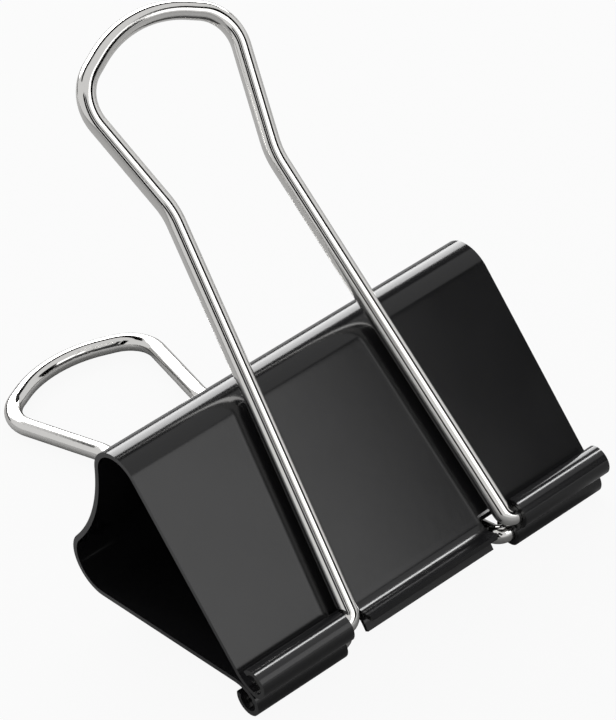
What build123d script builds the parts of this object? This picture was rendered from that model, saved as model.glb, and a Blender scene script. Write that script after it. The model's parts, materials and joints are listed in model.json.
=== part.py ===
from build123d import *
import math
import os

# A large foldback clip, in millimetres. It is drawn standing on its jaw: X along the jaw, Y across the two
# sides with the front side at -Y, Z from the jaw up to the back. It is then laid on its back side.

# Spring-steel body
clip_width = 51.0
sheet_thickness = 0.6
half_angle = 28.3            # lean of each side from the middle plane, degrees
side_length = 25.5           # from the line where the outer faces would meet to the shoulder
shoulder_radius = 4.1        # outer face of the two rounded shoulders
back_dip = 1.4               # how far the back is hollow between the shoulders
jaw_gap = 0.06               # between the closed jaws, along the nip line
seam_clearance = 0.05        # round the bullnose where a side meets its shoulder

# Wire handles
wire_diameter = 2.2
handle_reach = 67.7          # foot axis to the wire's centre at the tip
foot_bend = 1.25             # centreline radius of the bend from leg to foot
mouth_gap = 0.06             # from the start of the foot's bend to its barrel
foot_inset = 0.9             # foot's end inside the barrel's mouth
neck_height = 48.0
neck_width = 14.5            # between the wire's centres at the narrow neck
neck_bend = 9.0
loop_height = 63.6           # where the sides of the loop turn in
loop_width = 21.8
loop_bend = 5.0
tip_bend = 13.0

# Rolled barrels and middle lips of the jaw
foot_clearance = 0.08        # radial, wire in its barrel
barrel_length = 12.8
flare_radius = 4.0           # outer face of the bend ahead of each barrel
flare_turn = 40.0
barrel_turn = 250.0
lip_width = 18.6
lip_radius = 2.0
lip_turn = 65.0
lip_edge = 0.9               # flat rim past the lip's bend
lip_drop = 0.4               # the lip's bend starts this much nearer the jaw's edge
notch_radius = 1.6
notch_rise = 0.6             # how far the notches bite into the flat side

# Worked out from the sizes above
lean = math.radians(half_angle)
half_thickness = sheet_thickness / 2
wire_radius = wire_diameter / 2
bore_radius = wire_radius + foot_clearance
barrel_radius = bore_radius + sheet_thickness
hinge_offset = side_length * math.sin(lean)
flare_rise = flare_radius * (1 - math.cos(lean)) + sheet_thickness + jaw_gap / 2
flat_length = side_length - flare_rise / math.sin(lean)
barrel_offset = (flare_radius - bore_radius) * math.sin(math.radians(flare_turn))
barrel_height = flare_radius - (flare_radius - bore_radius) * math.cos(math.radians(flare_turn))
barrel_start = clip_width / 2 - barrel_length
leg_x = barrel_start - mouth_gap - foot_bend

# Height of the shoulder line above the nip line, where the inner faces come closest
nip_along = flat_length + (flare_radius + sheet_thickness) * math.sin(lean)
nip_out = flare_radius - (flare_radius + sheet_thickness) * math.cos(lean)
hinge_height = nip_along * math.cos(lean) + nip_out * math.sin(lean)

# A side's own plane: its x runs down the outer face to the jaw, its y points outwards
side_plane = Plane(
    origin=(0, -hinge_offset, hinge_height),
    x_dir=(0, math.sin(lean), -math.cos(lean)),
    z_dir=(-1, 0, 0),
)


def flat_stretch(start, end):
    """Section of flat sheet on the outer face line, from start to end along it."""
    middle = ((start + end) / 2, -half_thickness)
    return Pos(*middle) * Rectangle(end - start, sheet_thickness)


def bend_stretch(centre, inner, outer, first, last):
    """Section of bent sheet: a ring sector about centre, between two directions in degrees."""
    span = last - first
    with BuildSketch() as sector:
        with BuildLine():
            inside = CenterArc(centre, inner, first, span)
            outside = CenterArc(centre, outer, first, span)
            Line(inside @ 0, outside @ 0)
            Line(inside @ 1, outside @ 1)
        make_face()
    return sector.sketch


def across(section, first, last):
    """Extrudes a section of the side between two places across the clip's width."""
    run = extrude(side_plane * section, amount=last - first, dir=(1, 0, 0))
    return Pos(first, 0, 0) * run


def barrel_section():
    flare_centre = (flat_length, flare_radius)
    barrel_centre = (flat_length + barrel_offset, barrel_height)
    roll_start = -90 + flare_turn
    flare = bend_stretch(flare_centre, flare_radius, flare_radius + sheet_thickness, -90, roll_start)
    roll = bend_stretch(barrel_centre, bore_radius, barrel_radius, roll_start, roll_start + barrel_turn)
    return flare + roll


def lip_section():
    bend_at = flat_length + lip_drop
    bend_centre = (bend_at, lip_radius)
    bend_end = -90 + lip_turn
    bend = bend_stretch(bend_centre, lip_radius, lip_radius + sheet_thickness, -90, bend_end)
    rim_middle = lip_radius + half_thickness
    rim_x = bend_at + rim_middle * math.cos(math.radians(bend_end))
    rim_y = lip_radius + rim_middle * math.sin(math.radians(bend_end))
    rim = Pos(rim_x, rim_y) * Rot(Z=lip_turn) * Pos(lip_edge / 2, 0) * Rectangle(lip_edge, sheet_thickness)
    return flat_stretch(flat_length, bend_at) + bend + rim


def build_side():
    """The front side: flat sheet, bullnose at the shoulder, two barrels and the middle lip."""
    half_width = clip_width / 2
    bullnose = Pos(0, -half_thickness) * Circle(half_thickness)
    side = across(flat_stretch(0, flat_length) + bullnose, -half_width, half_width)
    for first in (-half_width, barrel_start):
        side += across(barrel_section(), first, first + barrel_length)
    side += across(lip_section(), -lip_width / 2, lip_width / 2)
    notch_x = (barrel_start + lip_width / 2) / 2
    notch_along = flat_length + notch_radius - notch_rise
    for sign in (-1, 1):
        bite = Pos(0, 0, sign * notch_x) * Rot(X=90) * Cylinder(notch_radius, 4 * sheet_thickness)
        side -= side_plane * Pos(notch_along, 0, 0) * bite
    return side


def build_spine():
    """The hollow back with both shoulders, open at each end for the bullnose of a side."""
    shoulder_y = hinge_offset - shoulder_radius * math.cos(lean)
    shoulder_z = hinge_height + shoulder_radius * math.sin(lean)
    back_slope = 2 * math.degrees(math.atan(back_dip / shoulder_y))
    back_radius = shoulder_y / math.sin(math.radians(back_slope)) - shoulder_radius
    back_centre_z = shoulder_z + (shoulder_radius + back_radius) * math.cos(math.radians(back_slope))
    inner = shoulder_radius - sheet_thickness
    front = bend_stretch(
        (-shoulder_y, shoulder_z), inner, shoulder_radius, 90 - back_slope, 180 + half_angle
    )
    back = bend_stretch(
        (shoulder_y, shoulder_z), inner, shoulder_radius, -half_angle, 90 + back_slope
    )
    hollow = bend_stretch(
        (0, back_centre_z), back_radius, back_radius + sheet_thickness, 270 - back_slope, 270 + back_slope
    )
    section = front + hollow + back
    socket = Circle(half_thickness + seam_clearance)
    seam_y = hinge_offset - half_thickness * math.cos(lean)
    seam_z = hinge_height + half_thickness * math.sin(lean)
    for sign in (-1, 1):
        section -= Pos(sign * seam_y, seam_z) * socket
    return extrude(Plane.YZ * section, amount=clip_width / 2, both=True)


def build_handle():
    """The front handle: one wire from foot to foot, lying along the front side past the back."""
    foot_end = clip_width / 2 - foot_inset
    half_run = [
        (foot_end, 0),
        (leg_x, 0),
        (neck_width / 2, neck_height),
        (loop_width / 2, loop_height),
    ]
    tip = tip_corner(loop_width / 2, handle_reach - loop_height)
    corners = half_run + [(0, loop_height + tip)] + [(-x, y) for x, y in reversed(half_run)]
    bends = [foot_bend, neck_bend, loop_bend]
    wire = FilletPolyline(*corners, radius=bends + [tip_bend] + bends[::-1])
    rod = sweep(Plane(origin=wire @ 0, z_dir=wire % 0) * Circle(wire_radius), path=wire)
    foot_axis = side_plane.from_local_coords((flat_length + barrel_offset, barrel_height, 0))
    handle_plane = Plane(origin=foot_axis, x_dir=(1, 0, 0), z_dir=side_plane.y_dir)
    return handle_plane * rod


def tip_corner(half_width, rise):
    """Height of the tip's corner, above the loop's corners, whose rounded bend tops out at rise."""
    height = rise
    for _ in range(40):
        slope = math.atan2(height, half_width)
        height = rise + tip_bend * (1 / math.cos(slope) - 1)
    return height


# Laid on the back side: it rests on its two back barrels and on the tip of the back handle
rest_tilt = math.degrees(math.asin((barrel_radius - wire_radius) / handle_reach))
lay_down = Rot(X=-(90 - half_angle) - rest_tilt)

side = build_side()
handle = build_handle()
nodes = {
    "spine": build_spine(),
    "front_side": side,
    "back_side": mirror(side, about=Plane.XZ),
    "front_handle": handle,
    "back_handle": mirror(handle, about=Plane.XZ),
}

os.makedirs("parts", exist_ok=True)
for name, solid in nodes.items():
    export_step(lay_down * solid, f"parts/{name}.step")
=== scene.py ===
import bmesh
import bpy
import json
import math
from mathutils import Matrix, Vector


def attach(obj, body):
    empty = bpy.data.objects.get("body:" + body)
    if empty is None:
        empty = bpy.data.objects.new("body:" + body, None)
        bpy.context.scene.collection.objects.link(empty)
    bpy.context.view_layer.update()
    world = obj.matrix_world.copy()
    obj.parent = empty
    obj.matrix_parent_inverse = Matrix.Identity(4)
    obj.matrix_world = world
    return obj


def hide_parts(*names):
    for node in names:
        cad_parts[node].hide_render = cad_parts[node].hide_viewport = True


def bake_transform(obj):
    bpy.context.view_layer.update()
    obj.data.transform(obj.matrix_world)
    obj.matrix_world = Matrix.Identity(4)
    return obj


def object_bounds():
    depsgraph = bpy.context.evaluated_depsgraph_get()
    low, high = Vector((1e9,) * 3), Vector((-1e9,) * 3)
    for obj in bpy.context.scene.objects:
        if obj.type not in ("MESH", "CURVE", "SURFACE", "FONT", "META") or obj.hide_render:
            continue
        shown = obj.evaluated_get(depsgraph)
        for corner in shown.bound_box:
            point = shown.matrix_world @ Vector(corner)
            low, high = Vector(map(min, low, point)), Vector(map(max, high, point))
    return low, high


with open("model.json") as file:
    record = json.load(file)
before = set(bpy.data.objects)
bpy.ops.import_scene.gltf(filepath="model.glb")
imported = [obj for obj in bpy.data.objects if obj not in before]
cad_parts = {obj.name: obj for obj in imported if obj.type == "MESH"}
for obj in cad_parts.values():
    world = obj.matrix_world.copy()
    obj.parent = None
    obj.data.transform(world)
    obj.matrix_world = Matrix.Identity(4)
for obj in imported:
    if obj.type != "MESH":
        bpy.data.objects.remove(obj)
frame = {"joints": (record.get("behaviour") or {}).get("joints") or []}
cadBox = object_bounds()
joints = {joint["name"]: joint for joint in frame["joints"]}
mm = 0.001
alongJaw = Vector((1, 0, 0))
sides = ("front", "back")
cornerSigns = ((-1, -1), (1, -1), (1, 1), (-1, 1))
sharpAngle = math.radians(50)
print("frame loaded")


class Channel:
    # A shader socket that takes part in plain arithmetic
    def __init__(self, tree, socket):
        self.tree = tree
        self.socket = socket

    def math(self, operation, first, second):
        return makeNode(self.tree, "ShaderNodeMath", dict(operation=operation), {0: first, 1: second})

    def __add__(self, other):
        return self.math("ADD", self, other)

    def __mul__(self, other):
        return self.math("MULTIPLY", self, other)

    __radd__ = __add__
    __rmul__ = __mul__


def makeNode(tree, kind, settings, inputs, output=0):
    node = tree.nodes.new(kind)
    for name, value in settings.items():
        setattr(node, name, value)
    for name, value in inputs.items():
        if isinstance(value, Channel):
            tree.links.new(value.socket, node.inputs[name])
        else:
            node.inputs[name].default_value = value
    return Channel(tree, node.outputs[output]) if len(node.outputs) else None


def newMaterial(name):
    material = bpy.data.materials.new(name)
    material.use_nodes = True
    material.node_tree.nodes.clear()
    return material, material.node_tree


def finishMaterial(tree, shader):
    makeNode(tree, "ShaderNodeOutputMaterial", {}, {"Surface": shader})


# Stoved gloss enamel: deep black, faint orange peel, a little variation in its gloss
enamelLook = dict(
    colour=(0.006, 0.006, 0.0065, 1), metallic=0.0, roughness=0.13, roughnessSpread=0.05,
    cloudScale=140.0, cloudDetail=3.0,
    grainScale=900.0, grainDetail=2.0, grainStrength=0.05, grainDepth=0.00004,
)
# Drawn and plated wire: near-mirror, with fine die lines and slightly uneven gloss
nickelLook = dict(
    colour=(0.83, 0.82, 0.8, 1), metallic=1.0, roughness=0.06, roughnessSpread=0.06,
    cloudScale=260.0, cloudDetail=4.0,
    grainScale=2400.0, grainDetail=1.0, grainStrength=0.08, grainDepth=0.00002,
)


def coating(name, look):
    material, tree = newMaterial(name)
    place = makeNode(tree, "ShaderNodeTexCoord", {}, {}, "Object")
    cloud, grain = [
        makeNode(tree, "ShaderNodeTexNoise", {}, {
            "Vector": place, "Scale": look[kind + "Scale"], "Detail": look[kind + "Detail"],
        })
        for kind in ("cloud", "grain")
    ]
    bump = makeNode(tree, "ShaderNodeBump", {}, {
        "Height": grain, "Strength": look["grainStrength"], "Distance": look["grainDepth"],
    })
    shader = makeNode(tree, "ShaderNodeBsdfPrincipled", {}, {
        "Base Color": look["colour"], "Metallic": look["metallic"], "IOR": 1.5, "Normal": bump,
        "Roughness": cloud * look["roughnessSpread"] + look["roughness"],
    })
    finishMaterial(tree, shader)
    return material


enamel = coating("blackEnamel", enamelLook)
nickel = coating("brightNickel", nickelLook)
print("materials made")


# The steel body, in millimetres and degrees. Its steps are how finely each stretch is divided.
sheet = dict(
    width=51.0, thickness=0.6, lean=28.3, shoulder=4.1, hollow=1.4, springHalf=1.2,
    hollowSteps=14, shoulderSteps=40, flatSteps=24, widthSteps=34,
)
barrel = dict(
    length=12.8, flare=4.0, flareTurn=40.0, roll=250.0, bore=1.18,
    flareSteps=10, rollSteps=48, widthSteps=8,
)
lip = dict(width=18.6, bend=2.0, turn=65.0, rim=0.9, drop=0.4, bendSteps=16, widthSteps=12)

hingePlace = {side: Vector(joints[side + "_jaw_open"]["pos_m"]) for side in sides}
footPlace = {side: Vector(joints[side + "_handle_fold"]["pos_m"]) for side in sides}
across = (hingePlace["front"] - hingePlace["back"]).normalized()    # from the back side to the front side
towardsBack = across.cross(alongJaw)    # from the jaw to the hollow back
lean = math.radians(sheet["lean"])


def sideAxes(side):
    # Down the outer face towards the jaw, and outwards from it
    sign = 1 if side == "front" else -1
    outwards = across * sign * math.cos(lean) - towardsBack * math.sin(lean)
    down = across * -sign * math.sin(lean) - towardsBack * math.cos(lean)
    return down, outwards


def arcPoints(centre, radius, first, last, steps):
    angles = [math.radians(first + (last - first) * step / steps) for step in range(steps + 1)]
    return [(centre[0] + radius * math.cos(a), centre[1] + radius * math.sin(a)) for a in angles]


def bentSheet(centre, outerRadius, innerRadius, first, last, steps):
    # Face and back of a bent stretch, as a list of point pairs
    outer = arcPoints(centre, outerRadius, first, last, steps)
    inner = arcPoints(centre, innerRadius, first, last, steps)
    return list(zip(outer, inner))


def flatSheet(first, last, steps):
    run = [first + (last - first) * step / steps for step in range(steps + 1)]
    return [((x, 0.0), (x, -sheet["thickness"])) for x in run]


def shoulderStretch():
    # From the middle of the hollow back, round the shoulder, to the start of the flat side
    radius = sheet["shoulder"]
    thickness = sheet["thickness"]
    halfBack = (hingePlace["front"] - hingePlace["back"]).length / mm / 2
    halfBack += thickness / 2 * math.cos(lean)
    shoulderY = halfBack - radius * math.cos(lean)
    slope = 2 * math.degrees(math.atan(sheet["hollow"] / shoulderY))
    hollowRadius = shoulderY / math.sin(math.radians(slope)) - radius
    turn = sheet["lean"] + slope
    reach = radius + hollowRadius
    shoulder = (0.0, -radius)
    hollow = (
        shoulder[0] - reach * math.cos(math.radians(turn)),
        shoulder[1] - reach * math.sin(math.radians(turn)),
    )
    stretch = bentSheet(
        hollow, hollowRadius, hollowRadius + thickness, sheet["lean"], turn, sheet["hollowSteps"]
    )
    stretch += bentSheet(shoulder, radius, radius - thickness, 180 + turn, 90, sheet["shoulderSteps"])[1:]
    return stretch


def sheetRun(builder, stretch, first, last, side, steps):
    # Lays a stretch of sheet between two places across the width, as one closed shell
    down, outwards = sideAxes(side)
    faceMiddle = hingePlace[side] + outwards * sheet["thickness"] / 2 * mm
    section = [pair[0] for pair in stretch] + [pair[1] for pair in reversed(stretch)]
    rings = []
    for step in range(steps + 1):
        x = (first + (last - first) * step / steps) * mm
        rings.append([
            builder.verts.new(faceMiddle + down * u * mm + outwards * n * mm + alongJaw * x)
            for u, n in section
        ])
    count = len(section)
    for left, right in zip(rings, rings[1:]):
        for i in range(count):
            j = (i + 1) % count
            builder.faces.new((left[i], left[j], right[j], right[i]))
    for ring in (rings[0], rings[-1]):
        for i in range(len(stretch) - 1):
            builder.faces.new((ring[i], ring[i + 1], ring[count - 2 - i], ring[count - 1 - i]))


def barrelStretch(flatEnd):
    flare = barrel["flare"]
    bore = barrel["bore"]
    thickness = sheet["thickness"]
    turn = math.radians(barrel["flareTurn"])
    rollCentre = (flatEnd + (flare - bore) * math.sin(turn), flare - (flare - bore) * math.cos(turn))
    rollStart = -90 + barrel["flareTurn"]
    rollEnd = rollStart + barrel["roll"]
    stretch = bentSheet((flatEnd, flare), flare, flare + thickness, -90, rollStart, barrel["flareSteps"])
    stretch += bentSheet(rollCentre, bore, bore + thickness, rollStart, rollEnd, barrel["rollSteps"])[1:]
    return stretch


def lipStretch(flatEnd):
    start = flatEnd + lip["drop"]
    bend = bentSheet(
        (start, lip["bend"]), lip["bend"], lip["bend"] + sheet["thickness"],
        -90, -90 + lip["turn"], lip["bendSteps"],
    )
    turn = math.radians(lip["turn"])
    rim = tuple((x + lip["rim"] * math.cos(turn), y + lip["rim"] * math.sin(turn)) for x, y in bend[-1])
    return flatSheet(flatEnd, start, 1)[:1] + bend + [rim]


def addPiece(name, mesh):
    for polygon in mesh.polygons:
        polygon.use_smooth = True
    mesh.set_sharp_from_angle(angle=sharpAngle)
    piece = bpy.data.objects.new(name, mesh)
    bpy.context.scene.collection.objects.link(piece)
    return piece


def sheetPiece(name, builder):
    bmesh.ops.recalc_face_normals(builder, faces=builder.faces)
    mesh = bpy.data.meshes.new(name)
    builder.to_mesh(mesh)
    builder.free()
    mesh.materials.append(enamel)
    piece = addPiece(name, mesh)
    return piece


def flatLength(side):
    footDown = (footPlace[side] - hingePlace[side]).dot(sideAxes(side)[0]) / mm
    return footDown - (barrel["flare"] - barrel["bore"]) * math.sin(math.radians(barrel["flareTurn"]))


def bodyShell(side):
    # Half of the hollow back, a shoulder and a flat side as one sheet, bent round the shoulder
    halfWidth = sheet["width"] / 2
    builder = bmesh.new()
    shell = shoulderStretch() + flatSheet(0, flatLength(side), sheet["flatSteps"])[1:]
    sheetRun(builder, shell, -halfWidth, halfWidth, side, sheet["widthSteps"])
    piece = sheetPiece(side + "_body_sheet", builder)
    springHalf = sideAxes(side)[0] * sheet["springHalf"] * mm
    start = hingePlace[side] - springHalf
    hingePlace[side] + springHalf
    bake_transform(piece)
    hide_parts("spine")


def jawEdge(side):
    # The two rolled barrels and the flared middle lip of one jaw
    halfWidth = sheet["width"] / 2
    halfLip = lip["width"] / 2
    flatEnd = flatLength(side)
    builder = bmesh.new()
    for start in (-halfWidth, halfWidth - barrel["length"]):
        end = start + barrel["length"]
        sheetRun(builder, barrelStretch(flatEnd), start, end, side, barrel["widthSteps"])
    sheetRun(builder, lipStretch(flatEnd), -halfLip, halfLip, side, lip["widthSteps"])
    piece = sheetPiece(side + "_jaw_edge", builder)
    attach(piece, side + "_side")
    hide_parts(side + "_side")
    return piece


for side in sides:
    bodyShell(side)
jawEdges = [jawEdge(side) for side in sides]
print("body made")


# Half of a handle, in millimetres: heights from the foot along the leg, places outwards from its middle
wire = dict(
    thickness=2.2, footEnd=24.6, footBend=1.25, legX=11.39, neckHeight=48.0, neckX=7.25, neckBend=9.0,
    loopHeight=63.6, loopX=10.9, loopBend=5.0, tipRise=5.85, tipBend=13.0, bendSteps=20, roundSteps=28,
)


def handleTree():
    # Rounds the corners of a run of straight wire and gives it its thickness
    tree = bpy.data.node_groups.new("bentWire", "GeometryNodeTree")
    tree.interface.new_socket("Run", in_out="INPUT", socket_type="NodeSocketGeometry")
    radius = tree.interface.new_socket("Wire Radius", in_out="INPUT", socket_type="NodeSocketFloat")
    tree.interface.new_socket("Bent", in_out="OUTPUT", socket_type="NodeSocketGeometry")
    nodes, links = tree.nodes, tree.links
    start = nodes.new("NodeGroupInput")
    end = nodes.new("NodeGroupOutput")
    toCurve = nodes.new("GeometryNodeMeshToCurve")
    bendSize = nodes.new("GeometryNodeInputNamedAttribute")
    bendSize.data_type = "FLOAT"
    bendSize.inputs["Name"].default_value = "bend"
    fillet = nodes.new("GeometryNodeFilletCurve")
    fillet.mode = "POLY"
    fillet.inputs["Count"].default_value = wire["bendSteps"]
    profile = nodes.new("GeometryNodeCurvePrimitiveCircle")
    profile.inputs["Resolution"].default_value = wire["roundSteps"]
    sweep = nodes.new("GeometryNodeCurveToMesh")
    sweep.inputs["Fill Caps"].default_value = True
    realize = nodes.new("GeometryNodeRealizeInstances")
    finish = nodes.new("GeometryNodeSetMaterial")
    finish.inputs["Material"].default_value = nickel
    links.new(start.outputs["Run"], toCurve.inputs["Mesh"])
    links.new(toCurve.outputs["Curve"], fillet.inputs["Curve"])
    links.new(bendSize.outputs["Attribute"], fillet.inputs["Radius"])
    links.new(start.outputs["Wire Radius"], profile.inputs["Radius"])
    links.new(fillet.outputs["Curve"], sweep.inputs["Curve"])
    links.new(profile.outputs["Curve"], sweep.inputs["Profile Curve"])
    links.new(sweep.outputs["Mesh"], realize.inputs["Geometry"])
    links.new(realize.outputs["Geometry"], finish.inputs["Geometry"])
    links.new(finish.outputs["Geometry"], end.inputs["Bent"])
    return tree, radius.identifier


def handle(side, tree, radiusInput):
    down = sideAxes(side)[0]
    half = [
        (wire["footEnd"], 0, 0),
        (wire["legX"], 0, wire["footBend"]),
        (wire["neckX"], wire["neckHeight"], wire["neckBend"]),
        (wire["loopX"], wire["loopHeight"], wire["loopBend"]),
    ]
    tip = [(0, wire["loopHeight"] + wire["tipRise"], wire["tipBend"])]
    run = half + tip + [(-x, y, bend) for x, y, bend in reversed(half)]
    mesh = bpy.data.meshes.new(side + "Run")
    points = [footPlace[side] + Vector((x * mm, 0, 0)) - down * y * mm for x, y, bend in run]
    mesh.from_pydata(points, [(i, i + 1) for i in range(len(points) - 1)], [])
    bends = mesh.attributes.new("bend", "FLOAT", "POINT")
    bends.data.foreach_set("value", [bend * mm for x, y, bend in run])
    source = bpy.data.objects.new(side + "Run", mesh)
    bpy.context.scene.collection.objects.link(source)
    modifier = source.modifiers.new("bentWire", "NODES")
    modifier.node_group = tree
    modifier[radiusInput] = wire["thickness"] / 2 * mm
    bpy.context.view_layer.update()
    evaluated = source.evaluated_get(bpy.context.evaluated_depsgraph_get())
    bent = bpy.data.meshes.new_from_object(evaluated)
    bpy.data.objects.remove(source)
    piece = addPiece(side + "_wire", bent)
    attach(piece, side + "_handle")
    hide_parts(side + "_handle")


wireTree, wireRadiusInput = handleTree()
for side in sides:
    handle(side, wireTree, wireRadiusInput)
print("handles made")


# The studio, in metres
floor = dict(drop=0.00002, reach=1.6, paper=(0.3, 0.3, 0.3, 1), glow=0.93)
worldLight = dict(onObject=0.7, behind=1.0)
white = (1, 1, 1, 1)
black = (0, 0, 0, 1)
centre = (cadBox[0] + cadBox[1]) / 2


def floorMaterial():
    material, tree = newMaterial("paleFloor")
    path = makeNode(tree, "ShaderNodeLightPath", {}, {}, "Is Camera Ray")
    glow = makeNode(tree, "ShaderNodeEmission", {}, {"Color": white, "Strength": 1.0})
    paper = makeNode(tree, "ShaderNodeBsdfDiffuse", {}, {"Color": floor["paper"]})
    mix = makeNode(tree, "ShaderNodeMixShader", {}, {0: path * floor["glow"], 1: paper, 2: glow})
    finishMaterial(tree, mix)
    return material


def cardMaterial():
    material, tree = newMaterial("blackCard")
    finishMaterial(tree, makeNode(tree, "ShaderNodeEmission", {}, {"Color": black, "Strength": 0.0}))
    return material


def makePlane(name, corners, material):
    mesh = bpy.data.meshes.new(name)
    mesh.from_pydata(corners, [], [(0, 1, 2, 3)])
    mesh.materials.append(material)
    plane = bpy.data.objects.new(name, mesh)
    bpy.context.scene.collection.objects.link(plane)
    return plane


def onRing(along, turn):
    # A direction that leans along the jaw and stands at an angle about it, from +Y (0) over the top (90)
    reach = math.sqrt(1 - along * along)
    return Vector((along, reach * math.cos(math.radians(turn)), reach * math.sin(math.radians(turn))))


def levelAxes(place):
    # Right, up and back of something at a place that faces the clip, its long side along the jaw
    back = (place - centre).normalized()
    right = (alongJaw - back * back.x).normalized()
    return right, back.cross(right), back


def softbox(name, along, turn, distance, width, height, brightness):
    lamp = bpy.data.lights.new(name, "AREA")
    lamp.shape = "RECTANGLE"
    lamp.size = width
    lamp.size_y = height
    lamp.energy = brightness * width * height * math.pi
    box = bpy.data.objects.new(name, lamp)
    bpy.context.scene.collection.objects.link(box)
    box.location = centre + onRing(along, turn) * distance
    box.rotation_mode = "QUATERNION"
    box.rotation_quaternion = Matrix(levelAxes(box.location)).transposed().to_quaternion()
    return box


def blackCard(name, along, turn, distance, width, height):
    # A flag that only reflections see
    place = centre + onRing(along, turn) * distance
    right, up, back = levelAxes(place)
    corners = [place + right * width * x / 2 + up * height * y / 2 for x, y in cornerSigns]
    card = makePlane(name, corners, cardMaterial())
    card.visible_camera = False
    card.visible_diffuse = False
    card.visible_shadow = False


def linkTo(box, pieces):
    # The box lights these pieces and nothing else
    receivers = bpy.data.collections.new(box.name + "Receivers")
    for piece in pieces:
        receivers.objects.link(piece)
    box.light_linking.receiver_collection = receivers


floorLevel = cadBox[0].z - floor["drop"]
floorCorners = [(x * floor["reach"], y * floor["reach"], floorLevel) for x, y in cornerSigns]
makePlane("floor", floorCorners, floorMaterial())

softbox("backBox", along=0.45, turn=30, distance=0.9, width=1.8, height=0.64, brightness=6.0)
softbox("frontBox", along=0.225, turn=152, distance=0.9, width=0.52, height=0.5, brightness=1.1)
lipStrip = softbox("lipStrip", along=0.45, turn=84, distance=0.8, width=1.6, height=0.13, brightness=16.0)
linkTo(lipStrip, jawEdges)
blackCard("cardAtLens", along=-0.47, turn=140, distance=0.75, width=0.16, height=0.5)
blackCard("cardOverhead", along=0.3, turn=62, distance=0.75, width=1.8, height=0.3)
blackCard("cardBelowLens", along=-0.75, turn=150, distance=0.7, width=0.22, height=1.0)
blackCard("cardLowBack", along=0.4, turn=2, distance=0.85, width=2.4, height=0.22)
blackCard("cardRight", along=0.643, turn=152, distance=0.85, width=0.36, height=0.6)


def buildWorld():
    world = bpy.data.worlds.new("studio")
    bpy.context.scene.world = world
    world.use_nodes = True
    tree = world.node_tree
    tree.nodes.clear()
    cameraRay = makeNode(tree, "ShaderNodeLightPath", {}, {}, "Is Camera Ray")
    strength = cameraRay * (worldLight["behind"] - worldLight["onObject"]) + worldLight["onObject"]
    glow = makeNode(tree, "ShaderNodeBackground", {}, {"Color": white, "Strength": strength})
    makeNode(tree, "ShaderNodeOutputWorld", {}, {"Surface": glow})


buildWorld()

# Where the camera stands from its aim, in degrees and millimetres
cameraSpec = dict(
    azimuth=-35.15, elevation=34.8, roll=9.4, distance=438.6, aim=(1.1, 16.7, 20.8), lens=200.0, film=36.0,
)


def direction(azimuth, elevation):
    a, e = math.radians(azimuth), math.radians(elevation)
    return Vector((math.sin(a) * math.cos(e), -math.cos(a) * math.cos(e), math.sin(e)))


def placeCamera():
    data = bpy.data.cameras.new("camera")
    data.lens = cameraSpec["lens"]
    data.sensor_width = cameraSpec["film"]
    data.clip_start = 0.01
    camera = bpy.data.objects.new("camera", data)
    bpy.context.scene.collection.objects.link(camera)
    aim = Vector(cameraSpec["aim"]) * mm
    towards = direction(cameraSpec["azimuth"], cameraSpec["elevation"])
    camera.location = aim + towards * cameraSpec["distance"] * mm
    camera.rotation_mode = "QUATERNION"
    roll = Matrix.Rotation(math.radians(-cameraSpec["roll"]), 3, "Z").to_quaternion()
    camera.rotation_quaternion = (aim - camera.location).to_track_quat("-Z", "Y") @ roll
    bpy.context.scene.camera = camera


placeCamera()
bpy.context.scene.view_settings.view_transform = "Standard"
print("studio made")
